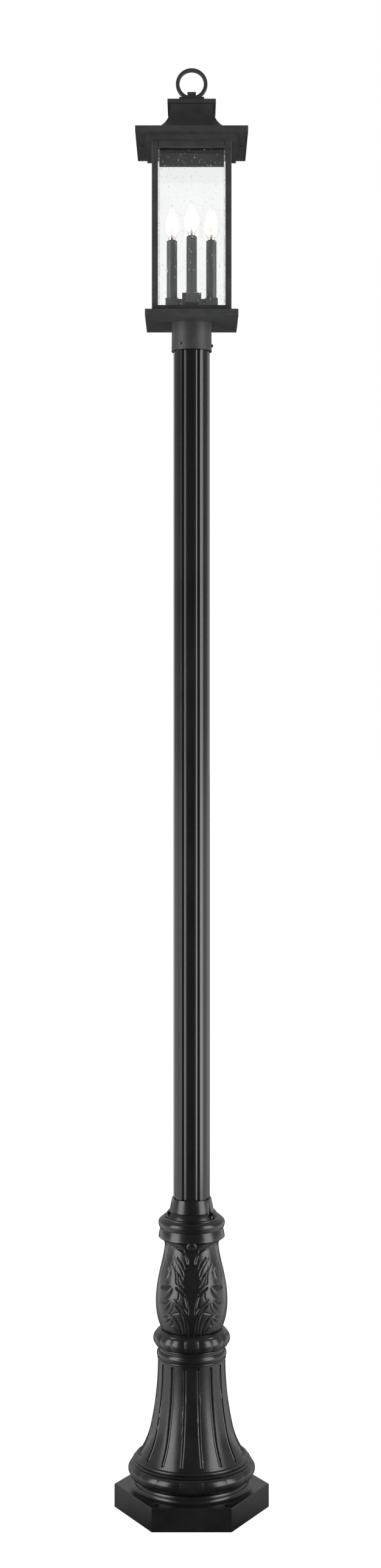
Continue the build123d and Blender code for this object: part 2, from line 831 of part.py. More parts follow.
def neck(half_width, bend, bottom, top):
    """A square neck that sweeps out on all four sides into a flat foot, sunk a little into the slab."""
    foot = half_width + bend
    bend_centre = bottom + bend
    sunk = bottom - roof_sheet / 2
    edges = outline((-foot, bottom), (-foot, sunk), (foot, sunk), (foot, bottom))
    edges += [CenterArc((foot, bend_centre), bend, 180, 90)]
    edges += outline(
        (half_width, bend_centre),
        (half_width, top),
        (-half_width, top),
        (-half_width, bend_centre),
    )
    edges += [CenterArc((-foot, bend_centre), bend, 270, 90)]
    side = extrude(Plane.XZ * make_face(edges), foot, both=True)
    return side & Rot(0, 0, 90) * side


def roof_shell():
    """The roof sheet: a turned-down lip, a flat slope and the swept neck, hollow inside."""
    slab = block(roof_side, roof_side, lip_bottom, roof_top)
    slab = fillet(slab.edges().filter_by(Axis.Z), roof_corner_round)
    shell = slab + neck(neck_half_width, neck_bend, roof_top, neck_top)
    inner_side = roof_side - 2 * roof_sheet
    inner_top = roof_top - roof_sheet
    shell -= block(inner_side, inner_side, lip_bottom - overrun, inner_top)
    shell -= neck(neck_half_width - roof_sheet, neck_bend + roof_sheet, inner_top, neck_top + overrun)
    boss = rod(roof_screw_boss_radius, soffit_top + body_gap, roof_top - roof_sheet / 2)
    shell += [place * boss for place in roof_screw_places()]
    hole = rod(roof_screw_radius + body_gap, soffit_top - overrun, inner_top)
    return shell - [place * hole for place in roof_screw_places()]


def cap_screw_holes(bottom, top, gap):
    """Holes for the two screws that hold the ring's foot."""
    hole = rod(cap_screw_radius + gap, bottom, top)
    return [Pos(side * cap_screw_spacing / 2, 0, 0) * hole for side in (-1, 1)]


def cap_plate():
    """The square plate that closes the neck, with a plug below that fits inside it."""
    plate = block(cap_side, cap_side, neck_top, cap_top)
    plate = fillet(plate.edges(), cap_round)
    plug_side = 2 * (neck_half_width - roof_sheet - screw_gap)
    plug_bottom = neck_top - cap_plug_depth
    plate += block(plug_side, plug_side, plug_bottom, neck_top + overrun)
    return plate - cap_screw_holes(plug_bottom - overrun, cap_top + overrun, screw_gap)


def upright_ring(gap):
    """The ring as a rounded square section around a circle, standing upright and grown all round by a gap."""
    section = RectangleRounded(ring_width + 2 * gap, ring_depth + 2 * gap, ring_round)
    ring = revolve(Plane.XZ * Pos(ring_middle_radius, 0) * section, Axis.Z)
    return Pos(0, 0, ring_centre) * Rot(90, 0, 0) * ring


def ring_foot():
    """The low cushion on the cap and the lug that the ring passes through."""
    foot = block(ring_foot_side, ring_foot_side, cap_top, ring_foot_top)
    foot = fillet(foot.edges().group_by(Axis.Z)[-1] + foot.edges().filter_by(Axis.Z), ring_foot_round)
    lug = block(lug_width, lug_depth, ring_foot_top - overrun, ring_foot_top + lug_height)
    lug = fillet(lug.edges().group_by(Axis.Z)[-1], lug_round)
    foot = foot + lug - upright_ring(screw_gap)
    return foot - cap_screw_holes(cap_top - overrun, ring_foot_top - 2 * overrun, thread_gap)


def finial_ring():
    """The upright ring on top of the lantern."""
    return upright_ring(0)


def cap_screws():
    """Screws from inside the roof up through the cap into the ring's foot."""
    seat = neck_top - cap_plug_depth
    screw = rod(cap_screw_radius, seat, ring_foot_top - 3 * overrun)
    screw += rod(cap_screw_head_radius, seat - cap_screw_head_height, seat)
    return Compound([Pos(side * cap_screw_spacing / 2, 0, 0) * screw for side in (-1, 1)])


def candle_place(index):
    """The middle of a candle, seen along its arm."""
    return Rot(0, 0, 90 * index) * Pos(0, -candle_offset, 0)


def arm_hub():
    """The square block in the middle of the cluster, bored for the wires."""
    hub = block(hub_side, hub_side, plate_top, hub_top)
    hub = fillet(hub.edges().group_by(Axis.Z)[-1] + hub.edges().filter_by(Axis.Z), hub_round)
    hub -= rod(nipple_radius + screw_gap, plate_top - overrun, plate_top + hub_bore_depth)
    wire_way = Rot(90, 0, 0) * Cylinder(wire_bore, hub_side / 2 + overrun)
    return hub - around(Pos(0, -hub_side / 4, wire_height) * wire_way, 4)


def hub_arms():
    """Four short arms between the hub and the cups."""
    length = candle_offset - cup_side / 2 - hub_side / 2
    arm = Box(arm_width, length, arm_height)
    arm -= Rot(90, 0, 0) * Cylinder(wire_bore, length + 2 * overrun)
    return Compound(around(Pos(0, -(hub_side + length) / 2, wire_height) * arm, 4))


def candle_cup(index):
    """A square cup at the end of an arm, bored for the wires."""
    cup = block(cup_side, cup_side, cup_bottom, cup_top)
    cup = fillet(cup.edges().group_by(Axis.Z)[-1] + cup.edges().filter_by(Axis.Z), hub_round)
    cup -= rod(wire_bore - thread_gap, wire_height, cup_top + overrun)
    wire_way = Rot(90, 0, 0) * Cylinder(wire_bore, cup_side / 2 + wire_bore)
    cup -= Pos(0, cup_side / 4, wire_height) * wire_way
    return candle_place(index) * cup


def candle_sleeve(index):
    """The tube that dresses a socket as a candle."""
    tube = rod(candle_radius, cup_top, candle_top)
    tube = fillet(tube.edges().group_by(Axis.Z)[-1], candle_round)
    tube -= bore(candle_radius - candle_wall, cup_top, candle_top)
    return candle_place(index) * tube


def candle_sockets():
    """Four screw sockets inside the candle tubes, each on a hollow stem from its cup."""
    top = candle_top - socket_recess
    bottom = top - socket_height
    socket = rod(socket_radius, bottom, top)
    socket -= rod(bulb_shell_radius + body_gap, bottom + socket_floor, candle_top)
    socket += rod(wire_bore + stem_wall, cup_top, bottom)
    socket -= rod(wire_bore, cup_top - overrun, bottom + socket_floor / 2)
    return Compound([candle_place(index) * socket for index in range(4)])


def hub_nipple():
    """The threaded tube that ties the hub to the base plate."""
    bottom = plate_bottom - nipple_drop
    top = plate_top + hub_bore_depth
    return rod(nipple_radius, bottom, top) - bore(nipple_bore, bottom, top)


def hub_nut():
    """The nut and the washer under the base plate."""
    nut_top = plate_bottom - washer_thickness
    washer = rod(washer_radius, nut_top, plate_bottom)
    nut = extrude(RegularPolygon(nut_across_flats / 2, 6, major_radius=False), -nut_height)
    hole = bore(nipple_radius + thread_gap, nut_top - nut_height, plate_bottom)
    return Compound([washer - hole, Pos(0, 0, nut_top) * nut - hole])


def ground_screw():
    """The earth screw under the base plate, inside the post."""
    screw = rod(ground_screw_radius, plate_bottom, plate_bottom + ground_screw_length)
    screw += rod(ground_screw_head_radius, plate_bottom - ground_screw_head_height, plate_bottom)
    return Pos(ground_screw_offset, 0, 0) * screw


def bulb_base(index):
    """The screw shell of a bulb with the flared metal collar above it."""
    shell_bottom = candle_top - bulb_shell_height
    contact_bottom = shell_bottom - bulb_contact_height
    edges = outline(
        (0, bulb_glass_bottom),
        (0, contact_bottom),
        (bulb_contact_radius, contact_bottom),
        (bulb_shell_radius - bulb_collar_edge, shell_bottom),
        (bulb_shell_radius, shell_bottom + bulb_shell_round),
        (bulb_shell_radius, candle_top),
        (bulb_collar_radius - bulb_collar_edge, candle_top + bulb_collar_flare),
        (bulb_collar_radius, bulb_glass_bottom - bulb_shell_round),
        (bulb_collar_radius - bulb_collar_edge / 2, bulb_glass_bottom),
        (0, bulb_glass_bottom),
    )
    return candle_place(index) * turned(edges)


def glass_body(inset):
    """A candle bulb's shape as a solid, moved inwards by an inset.

    One arc runs from the neck to the belly, a longer one on towards the tip, and a small one rounds it."""
    belly = bulb_glass_bottom + bulb_glass_belly_height
    tip_centre = bulb_glass_bottom + bulb_glass_height - bulb_glass_tip_round
    rise = tip_centre - belly
    narrowing = bulb_glass_radius - bulb_glass_neck_radius
    lower_bend = (bulb_glass_belly_height**2 + narrowing**2) / (2 * narrowing)
    tip_step = bulb_glass_radius - bulb_glass_tip_round
    upper_bend = (rise**2 + bulb_glass_radius**2 - bulb_glass_tip_round**2) / (2 * tip_step)
    lean = math.degrees(math.atan2(rise, upper_bend - bulb_glass_radius))
    foot_angle = math.degrees(math.asin(bulb_glass_belly_height / (lower_bend - inset)))
    lower_middle = (bulb_glass_radius - lower_bend, belly)
    upper_middle = (bulb_glass_radius - upper_bend, belly)
    lower = CenterArc(lower_middle, lower_bend - inset, -foot_angle, foot_angle)
    upper = CenterArc(upper_middle, upper_bend - inset, 0, lean)
    tip = CenterArc((0, tip_centre), bulb_glass_tip_round - inset, lean, 90 - lean)
    neck_edge = lower @ 0
    tip_end = tip @ 1
    middle = outline((0, tip_end.Y), (0, neck_edge.Y), (neck_edge.X, neck_edge.Y))
    return turned([lower, upper, tip] + middle)


def bulb_glass(index):
    """The thin torpedo glass of a bulb, open at its neck."""
    return candle_place(index) * (glass_body(0) - glass_body(bulb_glass_wall))


save("hex_plinth", hex_plinth())
save("foot_ring", foot_ring())
save("fluted_bell", fluted_bell())
save("bell_bead", bell_bead())
save("gadroon_ring", gadroon_ring())
save("leaf_vase", leaf_vase())
save("top_ring", top_ring())
save("post_collar", post_collar())
save("collar_bolts", collar_bolts())
save("foot_screws", foot_screws())
save("stack_screws", stack_screws())
save("fluted_post", fluted_post())

save("fitter_sleeve", fitter_sleeve())
for number, bearing in enumerate(set_screw_bearings, start=1):
    save(f"set_screw_{number}", set_screw(bearing))

save("base_plate", base_plate())
save("bottom_rails", rails(plate_top, plate_top + bottom_rail_height))
save("top_rails", rails(cage_top - top_rail_height, cage_top))
for corner, (x_sign, y_sign) in corner_signs.items():
    save(f"corner_post_{corner}", corner_post(x_sign, y_sign))
save("glass_clips", glass_clips())
save("eaves_collar", eaves_collar())
save("soffit_plate", soffit_plate())
save("roof_screws", roof_screws())

save("roof_shell", roof_shell())
save("cap_plate", cap_plate())
save("ring_foot", ring_foot())
save("finial_ring", finial_ring())
save("cap_screws", cap_screws())

save("arm_hub", arm_hub())
save("hub_arms", hub_arms())
save("hub_nipple", hub_nipple())
save("hub_nut", hub_nut())
save("ground_screw", ground_screw())
save("candle_sockets", candle_sockets())
for index, side in enumerate(side_names):
    save(f"glass_pane_{side}", glass_pane(index))
    save(f"candle_cup_{side}", candle_cup(index))
    save(f"candle_sleeve_{side}", candle_sleeve(index))
    save(f"bulb_base_{side}", bulb_base(index))
    save(f"bulb_glass_{side}", bulb_glass(index))

print("overall height", round(ring_centre + ring_outer_radius, 1))
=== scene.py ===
# %% [markdown]
# A tall post light stands on a hexagonal cast foot. A fluted tube carries a square glass lantern with four
# candle lights. The construction is already made: this lesson loads it and dresses it, so nothing that
# carries load is moved or resized here.

# %% Load the construction
import json
import math

import bpy
import numpy as np
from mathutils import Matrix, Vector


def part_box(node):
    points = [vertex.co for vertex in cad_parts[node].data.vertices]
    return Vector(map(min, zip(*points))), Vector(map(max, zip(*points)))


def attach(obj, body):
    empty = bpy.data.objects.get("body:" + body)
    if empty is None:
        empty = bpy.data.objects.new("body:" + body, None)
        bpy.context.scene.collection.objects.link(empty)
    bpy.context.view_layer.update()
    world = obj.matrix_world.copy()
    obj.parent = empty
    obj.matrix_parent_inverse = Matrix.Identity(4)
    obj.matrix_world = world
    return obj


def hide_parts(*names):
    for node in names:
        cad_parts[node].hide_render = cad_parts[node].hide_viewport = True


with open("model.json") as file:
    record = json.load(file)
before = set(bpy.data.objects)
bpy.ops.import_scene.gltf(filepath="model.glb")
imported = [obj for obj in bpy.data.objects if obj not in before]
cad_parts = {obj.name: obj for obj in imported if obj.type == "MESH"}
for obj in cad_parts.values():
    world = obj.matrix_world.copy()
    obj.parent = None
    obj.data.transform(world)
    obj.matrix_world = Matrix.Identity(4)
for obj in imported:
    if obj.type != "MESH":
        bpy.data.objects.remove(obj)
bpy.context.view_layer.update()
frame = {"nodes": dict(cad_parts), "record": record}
nodes = frame["nodes"]
MM = 0.001
SIDES = ("front", "right", "back", "left")

# %% [markdown]
# The camera looks level from a little over half the light's height, so its uprights stay upright. The
# horizon of the picture lies above the middle, which a small vertical shift gives without tilting.

# %% Set the camera
CAMERA_DISTANCE = 4.4
CAMERA_HEIGHT = 1.65
PICTURE_HEIGHT = 2576
AXIS_OFFSET_PX = 1.9
HORIZON_OFFSET_PX = 101.1
camera = bpy.data.objects.new("camera", bpy.data.cameras.new("camera"))
bpy.context.scene.collection.objects.link(camera)
camera.location = (0.0, -CAMERA_DISTANCE, CAMERA_HEIGHT)
camera.rotation_euler = (math.radians(90), 0.0, 0.0)
camera.data.sensor_width = 36.0
camera.data.lens = 48.0
camera.data.shift_x = -AXIS_OFFSET_PX / PICTURE_HEIGHT
camera.data.shift_y = -HORIZON_OFFSET_PX / PICTURE_HEIGHT
bpy.context.scene.camera = camera
bpy.context.scene.view_settings.view_transform = "Standard"
print("camera distance:", -camera.location.y, "height:", camera.location.z)

# %% [markdown]
# Black paint shows only what it reflects. Two large soft lamps stand left and right, and little light comes
# from the front, which leaves a dark band down the middle of every round form. The world is white where the
# camera and glass see it, and in what the paint mirrors it is dim in front and half bright behind.

# %% Small helpers for shader nodes
def add(tree, kind, **settings):
    """A new node in a tree, with its properties and input values set. Inputs are named with spaces as _."""
    node = tree.nodes.new(kind)
    for key, value in settings.items():
        name = key.replace("_", " ")
        if hasattr(node, key):
            setattr(node, key, value)
        elif key.startswith("input_"):
            node.inputs[int(key[6:])].default_value = value
        else:
            node.inputs[name].default_value = value
    return node


def math_node(tree, operation, first, second=None):
    """A Math node on two values, each a number or a socket. Gives its output socket."""
    node = tree.nodes.new("ShaderNodeMath")
    node.operation = operation
    for place, value in enumerate((first, second)):
        if isinstance(value, (int, float)):
            node.inputs[place].default_value = value
        elif value is not None:
            tree.links.new(value, node.inputs[place])
    return node.outputs[0]


def spread(tree, value, low_in, high_in, low_out, high_out):
    """A Map Range node: a value between two inputs becomes a value between two outputs."""
    node = add(tree, "ShaderNodeMapRange")
    for place, limit in enumerate((low_in, high_in, low_out, high_out), start=1):
        node.inputs[place].default_value = limit
    tree.links.new(value, node.inputs[0])
    return node.outputs[0]


# %% Light the studio
def soft_lamp(name, place, width, height, strength):
    """An upright rectangular lamp at a place, turned to the light's axis. Strength is its brightness."""
    lamp = bpy.data.lights.new(name, "AREA")
    lamp.shape = "RECTANGLE"
    lamp.size = width
    lamp.size_y = height
    lamp.energy = strength * math.pi * width * height
    thing = bpy.data.objects.new(name, lamp)
    bpy.context.scene.collection.objects.link(thing)
    thing.location = place
    turn = math.atan2(place[0], -place[1])
    thing.rotation_euler = (math.radians(90), 0.0, turn)


LAMP_ASIDE, LAMP_AHEAD, LAMP_HEIGHT = 2.6, 1.5, 1.6
LAMP_WIDTH, LAMP_TALL, LAMP_STRENGTH = 1.7, 3.4, 5.0
for name, aside in (("lamp_left", -LAMP_ASIDE), ("lamp_right", LAMP_ASIDE)):
    soft_lamp(name, (aside, -LAMP_AHEAD, LAMP_HEIGHT), LAMP_WIDTH, LAMP_TALL, LAMP_STRENGTH)
WORLD_DIFFUSE = 0.4
WORLD_FRONT = 0.06
WORLD_BEHIND = 0.55

world = bpy.data.worlds.new("studio")
bpy.context.scene.world = world
world.use_nodes = True
tree = world.node_tree
tree.nodes.clear()
direction = add(tree, "ShaderNodeTexCoord")
parts = add(tree, "ShaderNodeSeparateXYZ")
tree.links.new(direction.outputs["Generated"], parts.inputs[0])
mirrored = spread(tree, parts.outputs["Y"], -0.35, 0.25, WORLD_FRONT, WORLD_BEHIND)
ray = add(tree, "ShaderNodeLightPath")
seen = math_node(tree, "MAXIMUM", ray.outputs["Is Camera Ray"], ray.outputs["Is Transmission Ray"])
mix_mirror = add(tree, "ShaderNodeMix", data_type="FLOAT", input_2=WORLD_DIFFUSE)
tree.links.new(ray.outputs["Is Glossy Ray"], mix_mirror.inputs[0])
tree.links.new(mirrored, mix_mirror.inputs[3])
mix_seen = add(tree, "ShaderNodeMix", data_type="FLOAT", input_3=1.0)
tree.links.new(seen, mix_seen.inputs[0])
tree.links.new(mix_mirror.outputs[0], mix_seen.inputs[2])
background = add(tree, "ShaderNodeBackground", Color=(1, 1, 1, 1))
tree.links.new(mix_seen.outputs[0], background.inputs["Strength"])
output = add(tree, "ShaderNodeOutputWorld")
tree.links.new(background.outputs[0], output.inputs["Surface"])
print("world brightness on matt surfaces:", WORLD_DIFFUSE)

# %% [markdown]
# The floor is a pale sheet that runs far back. Its own glow for the camera makes it as white as the
# background, and the lamps still draw the object's soft shadow on it. In what the paint mirrors, the sheet
# shows a painted glow: painted shade before and behind the object, painted light to its left and right,
# where the lamps would light it.

# %% Lay the floor
FLOOR_GLOW = 0.7
FLOOR_GLOW_STRENGTH = 1.28
# Painted shade and painted light for mirrors: the floor's glow is dim before and behind the object and
# bright to its sides.
FLOOR_PAINTED_SHADE_MIRRORED = 0.06
FLOOR_PAINTED_LIGHT_MIRRORED = 1.3


def floor_material():
    """White paper: a matt surface mixed with a glow that the camera and glass see. Mirrors see another glow,
    painted light and shade, which grows with the distance to the side less half the distance to the front or
    back."""
    material = bpy.data.materials.new("floor_paper")
    material.use_nodes = True
    tree = material.node_tree
    tree.nodes.clear()
    matt = add(tree, "ShaderNodeBsdfDiffuse", Color=(0.9, 0.9, 0.9, 1))
    glow = add(tree, "ShaderNodeEmission", Color=(1, 1, 1, 1), Strength=FLOOR_GLOW_STRENGTH)
    ray = add(tree, "ShaderNodeLightPath")
    seen = math_node(tree, "MAXIMUM", ray.outputs["Is Camera Ray"], ray.outputs["Is Transmission Ray"])
    share = math_node(tree, "MULTIPLY", seen, FLOOR_GLOW)
    mix = add(tree, "ShaderNodeMixShader")
    tree.links.new(share, mix.inputs[0])
    tree.links.new(matt.outputs[0], mix.inputs[1])
    tree.links.new(glow.outputs[0], mix.inputs[2])
    parts = add(tree, "ShaderNodeSeparateXYZ")
    tree.links.new(add(tree, "ShaderNodeTexCoord").outputs["Object"], parts.inputs[0])
    # Painted light and shade: a glow that only mirrors see, dim before and behind the object, bright at its
    # sides.
    painted_mirror_glow = add(tree, "ShaderNodeEmission", Color=(1, 1, 1, 1))
    sideways = math_node(tree, "ABSOLUTE", parts.outputs["X"])
    ahead = math_node(tree, "MULTIPLY", math_node(tree, "ABSOLUTE", parts.outputs["Y"]), 0.5)
    beside = math_node(tree, "SUBTRACT", sideways, ahead)
    strength = spread(tree, beside, 0.05, 0.75, FLOOR_PAINTED_SHADE_MIRRORED, FLOOR_PAINTED_LIGHT_MIRRORED)
    tree.links.new(strength, painted_mirror_glow.inputs["Strength"])
    mirrored = add(tree, "ShaderNodeMixShader")
    tree.links.new(ray.outputs["Is Glossy Ray"], mirrored.inputs[0])
    tree.links.new(mix.outputs[0], mirrored.inputs[1])
    tree.links.new(painted_mirror_glow.outputs[0], mirrored.inputs[2])
    output = add(tree, "ShaderNodeOutputMaterial")
    tree.links.new(mirrored.outputs[0], output.inputs["Surface"])
    return material


floor_mesh = bpy.data.meshes.new("floor")
FLOOR_REACH = 60.0
floor_corners = FLOOR_REACH * np.array([(-1, -1, 0), (1, -1, 0), (1, 1, 0), (-1, 1, 0)])
floor_mesh.from_pydata(floor_corners.tolist(), [], [(0, 1, 2, 3)])
floor = bpy.data.objects.new("floor", floor_mesh)
bpy.context.scene.collection.objects.link(floor)
floor.data.materials.append(floor_material())
print("floor glow share:", FLOOR_GLOW)

# %% [markdown]
# Every painted piece shares one effect: paint that isn't perfectly flat. A coarse wave stands for the
# casting below, a fine one for the grain of the paint, and rare small pits for bubbles in the casting. One
# node group holds all three, so that each paint only sets how strong and how large they are.

# %% Build the shared paint effect
def new_group(name, inputs, outputs):
    """An empty shader group with named inputs, each a kind and a value, and named outputs."""
    group = bpy.data.node_groups.new(name, "ShaderNodeTree")
    for label, kind, value in inputs:
        socket = group.interface.new_socket(label, in_out="INPUT", socket_type=kind)
        if value is not None:
            socket.default_value = value
    for label, kind in outputs:
        group.interface.new_socket(label, in_out="OUTPUT", socket_type=kind)
    return group, group.nodes.new("NodeGroupInput"), group.nodes.new("NodeGroupOutput")


def noise(tree, place, scale, detail=2.0):
    """A Noise Texture read at a place. The scale is a number or a socket. Gives the node."""
    node = add(tree, "ShaderNodeTexNoise", Detail=detail)
    tree.links.new(place, node.inputs["Vector"])
    if isinstance(scale, float):
        node.inputs["Scale"].default_value = scale
    else:
        tree.links.new(scale, node.inputs["Scale"])
    return node


FLOAT, COLOUR, VECTOR = "NodeSocketFloat", "NodeSocketColor", "NodeSocketVector"


def paint_effect():
    """Colour, roughness and normal of paint: casting waves, paint grain, dust tone and small pits."""
    group, given, result = new_group(
        "paint_effect",
        [("Colour", COLOUR, (0.02, 0.02, 0.02, 1)), ("Light Colour", COLOUR, (0.04, 0.04, 0.04, 1)),
         ("Roughness", FLOAT, 0.3), ("Roughness Change", FLOAT, 0.1), ("Wave Scale", FLOAT, 30.0),
         ("Wave Height", FLOAT, 0.0001), ("Grain Scale", FLOAT, 900.0), ("Grain Height", FLOAT, 0.00002),
         ("Pit Size", FLOAT, 0.0)],
        [("Colour", COLOUR), ("Roughness", FLOAT), ("Normal", VECTOR)])
    place = add(group, "ShaderNodeTexCoord").outputs["Object"]
    wave = noise(group, place, given.outputs["Wave Scale"], 3.0).outputs["Fac"]
    grain = noise(group, place, given.outputs["Grain Scale"], 1.0).outputs["Fac"]
    cells = add(group, "ShaderNodeTexVoronoi", Scale=55.0)
    group.links.new(place, cells.inputs["Vector"])
    cell_tone = add(group, "ShaderNodeSeparateColor")
    group.links.new(cells.outputs["Color"], cell_tone.inputs[0])
    chosen = math_node(group, "GREATER_THAN", cell_tone.outputs[0], 0.86)
    near = math_node(group, "LESS_THAN", cells.outputs["Distance"], given.outputs["Pit Size"])
    pit = math_node(group, "MULTIPLY", chosen, near)
    height = math_node(group, "MULTIPLY", wave, given.outputs["Wave Height"])
    fine = math_node(group, "MULTIPLY", grain, given.outputs["Grain Height"])
    height = math_node(group, "ADD", height, fine)
    height = math_node(group, "SUBTRACT", height, math_node(group, "MULTIPLY", pit, 0.0006))
    bump = add(group, "ShaderNodeBump", Strength=1.0, Distance=1.0)
    group.links.new(height, bump.inputs["Height"])
    tone = spread(group, wave, 0.35, 0.7, 0.0, 1.0)
    mix = add(group, "ShaderNodeMix", data_type="RGBA")
    group.links.new(tone, mix.inputs[0])
    group.links.new(given.outputs["Colour"], mix.inputs[6])
    group.links.new(given.outputs["Light Colour"], mix.inputs[7])
    change = math_node(group, "SUBTRACT", math_node(group, "ADD", wave, grain), 1.0)
    change = math_node(group, "MULTIPLY", change, given.outputs["Roughness Change"])
    group.links.new(mix.outputs[2], result.inputs["Colour"])
    group.links.new(math_node(group, "ADD", given.outputs["Roughness"], change), result.inputs["Roughness"])
    group.links.new(bump.outputs[0], result.inputs["Normal"])
    return group


PAINT_EFFECT = paint_effect()
print("paint effect inputs:", len(PAINT_EFFECT.interface.items_tree))

# %% [markdown]
# A finish is a Principled shader whose colour, roughness and normal come from the shared effect. The cast
# base is satin, the tube is glossier, and the lantern has a dull powder coat with a fine grain.

# %% Make the painted finishes
def finish_of(name, **constants):
    """A material with one Principled shader. Gives the material and the shader."""
    material = bpy.data.materials.new(name)
    material.use_nodes = True
    shader = material.node_tree.nodes["Principled BSDF"]
    for key, value in constants.items():
        shader.inputs[key.replace("_", " ")].default_value = value
    return material, shader


def painted(name, colour, light_colour, roughness, change, wave, grain, pit_size, **constants):
    """A paint: dark and light tone, roughness and its change, then scale and height of wave and grain."""
    material, shader = finish_of(name, **constants)
    tree = material.node_tree
    effect = add(tree, "ShaderNodeGroup", node_tree=PAINT_EFFECT)
    values = (colour, light_colour, roughness, change, wave[0], wave[1], grain[0], grain[1], pit_size)
    for socket, value in zip(effect.inputs, values):
        socket.default_value = (*value, 1.0) if isinstance(value, tuple) else value
    tree.links.new(effect.outputs["Colour"], shader.inputs["Base Color"])
    tree.links.new(effect.outputs["Roughness"], shader.inputs["Roughness"])
    tree.links.new(effect.outputs["Normal"], shader.inputs["Normal"])
    return material


base_paint = painted("base_paint", (0.006, 0.006, 0.006), (0.009, 0.009, 0.009), 0.26, 0.12,
                     (26.0, 0.00012), (420.0, 0.000008), 0.055)
post_paint = painted("post_paint", (0.006, 0.006, 0.0063), (0.009, 0.009, 0.009), 0.17, 0.06,
                     (9.0, 0.00004), (300.0, 0.000002), 0.0)
lantern_paint = painted("lantern_paint", (0.026, 0.0265, 0.027), (0.036, 0.0365, 0.037), 0.48, 0.12,
                        (40.0, 0.00002), (1500.0, 0.00001), 0.0)
bolt_black = painted("bolt_black", (0.010, 0.010, 0.010), (0.016, 0.016, 0.016), 0.12, 0.05,
                     (120.0, 0.00002), (1500.0, 0.000004), 0.0)
candle_plastic = painted("candle_plastic", (0.026, 0.026, 0.0265), (0.034, 0.034, 0.034), 0.42, 0.08,
                         (45.0, 0.00002), (1500.0, 0.000006), 0.0)
socket_plastic = painted("socket_plastic", (0.018, 0.018, 0.018), (0.025, 0.025, 0.025), 0.45, 0.1,
                         (90.0, 0.00003), (1300.0, 0.00002), 0.0)
print("paints:", [m.name for m in (base_paint, post_paint, lantern_paint, bolt_black)])

# %% [markdown]
# Screws, nuts and the nipple inside are bare metal. Fine turned lines run round them, which noise squeezed
# along the Z axis gives: it changes fast along the axis and slowly round it.

# %% Make the bare metals
def metal(name, colour, dark_colour, roughness, line_scale, line_height):
    """Turned metal: rings along Z as bump, and noise for the tone and the roughness."""
    material, shader = finish_of(name, Metallic=1.0)
    tree = material.node_tree
    place = add(tree, "ShaderNodeTexCoord").outputs["Object"]
    stretch = add(tree, "ShaderNodeMapping", Scale=(1.0, 1.0, line_scale))
    tree.links.new(place, stretch.inputs["Vector"])
    lines = noise(tree, stretch.outputs[0], 60.0, 2.0).outputs["Fac"]
    stain = noise(tree, place, 140.0, 3.0).outputs["Fac"]
    mix = add(tree, "ShaderNodeMix", data_type="RGBA", input_6=(*dark_colour, 1), input_7=(*colour, 1))
    tree.links.new(spread(tree, stain, 0.3, 0.6, 0.0, 1.0), mix.inputs[0])
    tree.links.new(mix.outputs[2], shader.inputs["Base Color"])
    rough = spread(tree, lines, 0.3, 0.7, roughness * 0.7, roughness * 1.3)
    tree.links.new(rough, shader.inputs["Roughness"])
    bump = add(tree, "ShaderNodeBump", Strength=1.0, Distance=1.0)
    tree.links.new(math_node(tree, "MULTIPLY", lines, line_height), bump.inputs["Height"])
    tree.links.new(bump.outputs[0], shader.inputs["Normal"])
    return material


steel = metal("steel", (0.58, 0.58, 0.6), (0.45, 0.45, 0.46), 0.32, 18.0, 0.00003)
brass = metal("brass", (0.75, 0.58, 0.28), (0.55, 0.4, 0.18), 0.28, 18.0, 0.00003)
bulb_metal = metal("bulb_metal", (0.78, 0.75, 0.7), (0.6, 0.56, 0.5), 0.22, 10.0, 0.00002)
print("metals:", steel.name, brass.name, bulb_metal.name)

# %% [markdown]
# Clear glass needs refraction, and light has to pass through it to what stands behind. So the shader gives
# way to a plain see-through one for shadow rays and for light that falls on matt surfaces. Slow waves in the
# surface bend what stands behind. The bulbs are lit, so their glass glows a little by itself.

# %% Make the glasses
def clear_glass(name, colour, wave_scale, wave_height, **constants):
    """Clear glass with slow waves as bump, open to shadow rays."""
    material, shader = finish_of(name, Transmission_Weight=1.0, Roughness=0.015, IOR=1.45, **constants)
    tree = material.node_tree
    place = add(tree, "ShaderNodeTexCoord").outputs["Object"]
    wave = noise(tree, place, wave_scale, 0.0).outputs["Fac"]
    bump = add(tree, "ShaderNodeBump", Strength=1.0, Distance=1.0)
    tree.links.new(math_node(tree, "MULTIPLY", wave, wave_height), bump.inputs["Height"])
    tree.links.new(bump.outputs[0], shader.inputs["Normal"])
    tint = add(tree, "ShaderNodeMix", data_type="RGBA", input_6=(*colour, 1), input_7=(1, 1, 1, 1))
    tree.links.new(wave, tint.inputs[0])
    tree.links.new(tint.outputs[2], shader.inputs["Base Color"])
    ray = add(tree, "ShaderNodeLightPath")
    passing = math_node(tree, "MAXIMUM", ray.outputs["Is Shadow Ray"], ray.outputs["Is Diffuse Ray"])
    open_shader = add(tree, "ShaderNodeBsdfTransparent", Color=(0.96, 0.96, 0.96, 1))
    mix = add(tree, "ShaderNodeMixShader")
    tree.links.new(passing, mix.inputs[0])
    tree.links.new(shader.outputs[0], mix.inputs[1])
    tree.links.new(open_shader.outputs[0], mix.inputs[2])
    tree.links.new(mix.outputs[0], tree.nodes["Material Output"].inputs["Surface"])
    return material


seeded_glass = clear_glass("seeded_glass", (0.95, 0.96, 0.96), 16.0, 0.00005)
bulb_glass = clear_glass("bulb_glass", (0.97, 0.97, 0.97), 30.0, 0.00003,
                         Emission_Color=(1.0, 0.97, 0.92, 1), Emission_Strength=0.04)
print("glasses:", seeded_glass.name, bulb_glass.name)

# %% [markdown]
# The record already says which finish each node has. A table from slot to material dresses all of them
# without naming each one.

# %% Dress the construction
FINISHES = {
    "base_paint": base_paint, "post_paint": post_paint, "lantern_paint": lantern_paint,
    "bolt_black": bolt_black, "steel": steel, "brass": brass, "seeded_glass": seeded_glass,
    "bulb_glass": bulb_glass, "bulb_metal": bulb_metal, "candle_plastic": candle_plastic,
    "socket_plastic": socket_plastic,
}
for part in frame["record"]["subparts"]:
    mesh = nodes[part["node"]].data
    mesh.materials.clear()
    mesh.materials.append(FINISHES[part["material_slot"]])

